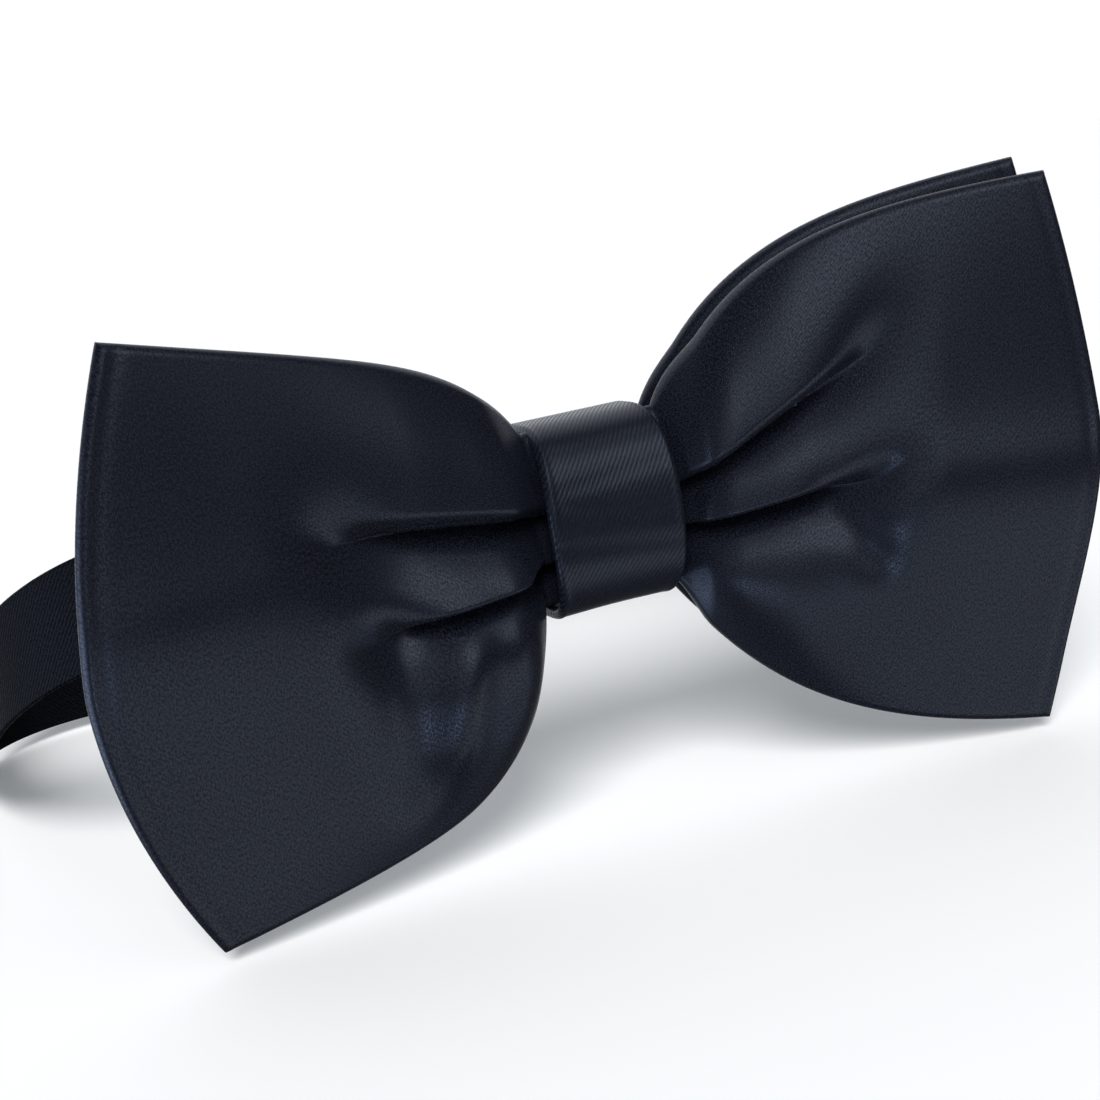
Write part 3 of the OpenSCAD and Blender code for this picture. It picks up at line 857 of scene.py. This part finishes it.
def add_strap():
    right = tape_object("strap_right_tape", strap_line(0, S_NAPE, 260)
                        + nape_line(NAPE_HALF - 0.5, HOOK_X + 0.5, 0, 0, math.pi, 20)
                        + turn_round(HOOK_X, 0, 1) + tail_line(HOOK_X, 0, 1, HOOK_TAIL_L))
    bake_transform(right)
    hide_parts("strap_front_run", "strap_right_side", "strap_right_bend", "strap_hook_end")
    left_line = (strap_line(0, -S_NAPE, 260)
                 + nape_line(-NAPE_HALF + 0.3, -NAPE_HALF + 0.6, 0, 0, -math.pi, 1))
    left = tape_object("strap_left_tape", left_line[::-1], cut=True)
    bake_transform(left)
    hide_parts("strap_left_side", "strap_left_bend", "strap_slide_end")
    inner = tape_object("adjuster_inner_tape",
                        nape_line(-NAPE_HALF + 0.6, -EYE_FOLD_L, 0, 0, 0.0, 60), cut=True)
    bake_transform(inner)
    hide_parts("adjuster_inner_ply")
    slide_end_x = SLIDE_X + SLIDE_FOLD_L
    outer = tape_object("eye_fold_tape",
                        nape_line(slide_end_x, -EYE_FOLD_L, PLY_LIFT, 2 * FOLD_R, 0.0, 20)
                        + nape_line(-EYE_FOLD_L + 0.2, -0.4, 2 * FOLD_R, 2 * FOLD_R, 0.0, 8)
                        + turn_round(EYE_X, 0, -1)[::-1]
                        + nape_line(-0.4, -EYE_FOLD_L, 0, 0, 0.0, 8))
    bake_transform(outer)
    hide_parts("adjuster_outer_ply", "eye_fold")
    fold = tape_object("slide_fold_tape",
                       nape_line(slide_end_x, SLIDE_X + 0.4, PLY_LIFT, PLY_LIFT, math.pi, 12)
                       + turn_round(SLIDE_X, PLY_LIFT, 1)
                       + tail_line(SLIDE_X, PLY_LIFT, 1, SLIDE_FOLD_L))
    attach(fold, "slide")
    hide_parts("slide_fold")


add_strap()


# ---- Stitches ----

STITCH_R, STITCH_LIFT = 0.16, (0, 0.16, 0)
KNOT_SEAM_STITCHES = 11


def stitches_object(name, paths, radius):
    """Short thread tubes whose ends dip into the cloth."""
    points, faces = [], []
    ring, steps = 8, 9
    for start, end, lift in paths:
        start, end, lift = (np.array(p, float) for p in (start, end, lift))
        along = (end - start) / np.linalg.norm(end - start)
        up = lift / np.linalg.norm(lift)
        side = np.cross(along, up)
        first = len(points)
        for i, t in enumerate(np.linspace(0, 1, steps)):
            middle = mix(start, end, t) + lift * (math.sin(t * math.pi) ** 0.5 - 0.35)
            r = radius * (0.55 if i in (0, steps - 1) else 1.0)
            for k in range(ring):
                a = 2 * math.pi * k / ring
                points.append(middle + r * (math.cos(a) * side + math.sin(a) * up))
        for i in range(steps - 1):
            for k in range(ring):
                n = (k + 1) % ring
                faces.append((first + i * ring + k, first + i * ring + n,
                              first + (i + 1) * ring + n, first + (i + 1) * ring + k))
        faces.append(tuple(first + k for k in range(ring))[::-1])
        faces.append(tuple(first + (steps - 1) * ring + k for k in range(ring)))
    return mesh_object(name, points, faces, np.zeros((len(points), 2)), thread)


def tail_stitches(x, out, length):
    """Two rows of stitches across a tape's tail, near its end."""
    paths = []
    count = 7
    pitch = STRAP_W / count
    y = NAPE_Y + out + PLY_LIFT + STRAP_T / 2
    for row in range(2):
        for i in range(count):
            z = -FALL + (i + 0.5 - count / 2) * pitch
            at = x + length - 0.9 - 1.6 * row
            paths.append(((at, y, z - pitch * 0.32), (at, y, z + pitch * 0.32), STITCH_LIFT))
    return paths


def knot_seam():
    """Slanting hand stitches up the back of the knot."""
    paths = []
    for i in range(KNOT_SEAM_STITCHES):
        slant, z = 0.18 * (-1) ** i, 1.12 * i
        paths.append(((slant, -0.05, -5.6 + z), (-slant, -0.05, -4.9 + z), STITCH_LIFT))
    return paths


def add_stitches():
    for node, body, paths in (
            ("knot_seam_stitches", "knot", knot_seam()),
            ("hook_fold_stitches", "hook_end", tail_stitches(HOOK_X, 0, HOOK_TAIL_L)),
            ("slide_fold_stitches", "slide", tail_stitches(SLIDE_X, PLY_LIFT, SLIDE_FOLD_L))):
        piece = stitches_object(node + "_thread", paths, STITCH_R)
        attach(piece, body)
        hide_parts(node)


add_stitches()


# ---- Light and stage ----

def stage():
    """White paper, just under the strap."""
    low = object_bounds()[0][2]
    size = 3.0
    data = bpy.data.meshes.new("floor")
    data.from_pydata([(-size, -size, 0), (size, -size, 0), (size, size, 0), (-size, size, 0)],
                     [], [(0, 1, 2, 3)])
    floor = bpy.data.objects.new("floor", data)
    floor.location.z = low - 0.0002
    bpy.context.scene.collection.objects.link(floor)
    material, nodes, links = node_tree("floor_paper")
    shader = nodes["Principled BSDF"]
    shader.inputs["Base Color"].default_value = (0.9, 0.9, 0.9, 1)
    shader.inputs["Roughness"].default_value = 0.9
    shader.inputs["Specular IOR Level"].default_value = 0.1
    shader.inputs["Emission Color"].default_value = (0.97, 0.98, 1.0, 1)
    shader.inputs["Emission Strength"].default_value = 0.05
    data.materials.append(material)
    # the satin mirrors the room's soft cards, below the horizon too, and not the bright paper
    floor.visible_glossy = False
    floor.visible_shadow = False
    floor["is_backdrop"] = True


# The room round the bow: soft round cards over a dim base. Each is (azimuth, elevation,
# degrees from its middle to its rim, degrees to where it is full, brightness, colour);
# azimuth 0 is the front.
ROOM_BASE = 0.06
COOL, BLUE = (0.90, 0.95, 1.0), (0.62, 0.74, 1.0)
ROOM_CARDS = [
    (14, -41, 25, 8, 0.62, COOL),
    (50, -32, 19, 7, 0.70, COOL),
    (-8, 8, 30, 8, 0.45, COOL),
    (15, 23, 25, 12, 1.25, COOL),
    (26, 50, 30, 12, 0.50, COOL),
    (-19, -27, 11, 3, 2.6, BLUE),
    (76, -44, 17, 5, 0.5, BLUE),
    (-95, -18, 34, 12, 2.8, BLUE),
    (180, 28, 75, 25, 0.75, COOL),
]


def world():
    """A dim room with soft cards, and plain white where the camera looks past the floor."""
    scene = bpy.context.scene
    scene.world = bpy.data.worlds.new("world")
    scene.world.use_nodes = True
    nodes, links = scene.world.node_tree.nodes, scene.world.node_tree.links
    where = nodes.new("ShaderNodeTexCoord").outputs["Generated"]
    total = nodes.new("ShaderNodeRGB")
    total.outputs[0].default_value = (*(ROOM_BASE * k for k in COOL), 1)
    total = total.outputs[0]
    for azimuth, elevation, start, full, bright, colour in ROOM_CARDS:
        a, e = math.radians(azimuth), math.radians(elevation)
        dot = nodes.new("ShaderNodeVectorMath")
        dot.operation = "DOT_PRODUCT"
        dot.inputs[1].default_value = (math.sin(a) * math.cos(e), -math.cos(a) * math.cos(e),
                                       math.sin(e))
        links.new(where, dot.inputs[0])
        card = nodes.new("ShaderNodeMapRange")
        card.interpolation_type = "SMOOTHSTEP"
        card.inputs["From Min"].default_value = math.cos(math.radians(start))
        card.inputs["From Max"].default_value = math.cos(math.radians(full))
        card.inputs["To Max"].default_value = bright
        links.new(dot.outputs["Value"], card.inputs["Value"])
        tinted = nodes.new("ShaderNodeVectorMath")
        tinted.operation = "SCALE"
        tinted.inputs[0].default_value = colour
        links.new(card.outputs["Result"], tinted.inputs["Scale"])
        joined = nodes.new("ShaderNodeVectorMath")
        joined.operation = "ADD"
        links.new(total, joined.inputs[0])
        links.new(tinted.outputs[0], joined.inputs[1])
        total = joined.outputs[0]
    room = nodes["Background"]
    links.new(total, room.inputs["Color"])
    backdrop = nodes.new("ShaderNodeBackground")
    backdrop.inputs["Color"].default_value = (1.0, 1.0, 1.0, 1)
    backdrop.inputs["Strength"].default_value = 1.02
    seen = nodes.new("ShaderNodeLightPath")
    choice = nodes.new("ShaderNodeMixShader")
    links.new(seen.outputs["Is Camera Ray"], choice.inputs["Fac"])
    links.new(room.outputs[0], choice.inputs[1])
    links.new(backdrop.outputs[0], choice.inputs[2])
    links.new(choice.outputs[0], nodes["World Output"].inputs["Surface"])
    scene.view_settings.view_transform = "Standard"


def sun(name, towards, power, angle):
    """A wide soft light that the satin doesn't mirror."""
    data = bpy.data.lights.new(name, "SUN")
    data.energy, data.angle = power, math.radians(angle)
    light = bpy.data.objects.new(name, data)
    light.rotation_euler = Vector(towards).to_track_quat("Z", "Y").to_euler()
    light.visible_glossy = False
    bpy.context.scene.collection.objects.link(light)


stage()
world()
sun("sky", (-0.36, -0.74, 0.57), 3.8, 26)
